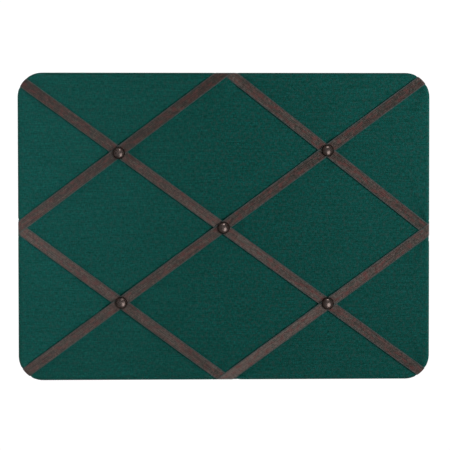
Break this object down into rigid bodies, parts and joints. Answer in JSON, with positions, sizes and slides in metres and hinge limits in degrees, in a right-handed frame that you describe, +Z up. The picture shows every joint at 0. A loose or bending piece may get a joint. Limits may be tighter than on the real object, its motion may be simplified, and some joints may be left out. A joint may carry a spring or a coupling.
{
  "type": "padded ribbon memo board",
  "caption": "Padded cloth-covered memo board with a crossed ribbon lattice, domed nails at the crossings and hinged hanging rings on the back.",
  "frame": {"origin": "middle of the back panel's wall side", "axes": "+X across the board to the right as seen from the front, +Z up it, front facing -Y and wall side facing +Y"},
  "size_m": [0.37, 0.0271, 0.276],
  "materials": {
    "cover_cloth": "dark green plain-woven cloth, matte",
    "ribbon": "dark brown ribbed ribbon with woven edges",
    "nail_bronze": "antique bronze, dark in the hollows",
    "backer": "raw medium-density fibreboard",
    "foam": "soft upholstery foam",
    "panel_board": "brown hardboard, smooth side out",
    "steel": "bright zinc-plated steel"
  },
  "bodies": {
    "board": {"backer_board": "backer", "foam_pad": "foam", "cover_fabric": "cover_cloth", "ribbon_main_falling": "ribbon", "ribbon_upper_right": "ribbon", "ribbon_lower_left": "ribbon", "ribbon_main_rising": "ribbon", "ribbon_upper_left": "ribbon", "ribbon_lower_right": "ribbon", "nail_cap_upper_left": "nail_bronze", "nail_cap_upper_right": "nail_bronze", "nail_cap_centre": "nail_bronze", "nail_cap_lower_left": "nail_bronze", "nail_cap_lower_right": "nail_bronze", "nail_shank_upper_left": "steel", "nail_shank_upper_right": "steel", "nail_shank_centre": "steel", "nail_shank_lower_left": "steel", "nail_shank_lower_right": "steel", "back_panel": "panel_board", "ribbon_staple_main_falling_1": "steel", "ribbon_staple_main_falling_2": "steel", "ribbon_staple_upper_right_1": "steel", "ribbon_staple_upper_right_2": "steel", "ribbon_staple_lower_left_1": "steel", "ribbon_staple_lower_left_2": "steel", "ribbon_staple_main_rising_1": "steel", "ribbon_staple_main_rising_2": "steel", "ribbon_staple_upper_left_1": "steel", "ribbon_staple_upper_left_2": "steel", "ribbon_staple_lower_right_1": "steel", "ribbon_staple_lower_right_2": "steel", "cover_staple_1": "steel", "cover_staple_2": "steel", "cover_staple_3": "steel", "cover_staple_4": "steel", "cover_staple_5": "steel", "cover_staple_6": "steel", "cover_staple_7": "steel", "cover_staple_8": "steel", "panel_staple_1": "steel", "panel_staple_2": "steel", "panel_staple_3": "steel", "panel_staple_4": "steel", "panel_staple_5": "steel", "panel_staple_6": "steel", "panel_staple_7": "steel", "panel_staple_8": "steel", "hanger_strap_top": "steel", "hanger_screw_top": "steel", "hanger_strap_side": "steel", "hanger_screw_side": "steel"},
    "top_ring": {"hanger_ring_top": "steel"},
    "side_ring": {"hanger_ring_side": "steel"}
  },
  "joints": [
    {"name": "top_ring_swing", "type": "hinge", "parent": "board", "child": "top_ring", "pos_m": [0, 0.00235, 0.114], "axis": [-1, 0, 0], "range_deg": [0, 180]},
    {"name": "side_ring_swing", "type": "hinge", "parent": "board", "child": "side_ring", "pos_m": [-0.161, 0.00235, 0], "axis": [0, 0, -1], "range_deg": [0, 180]}
  ]
}
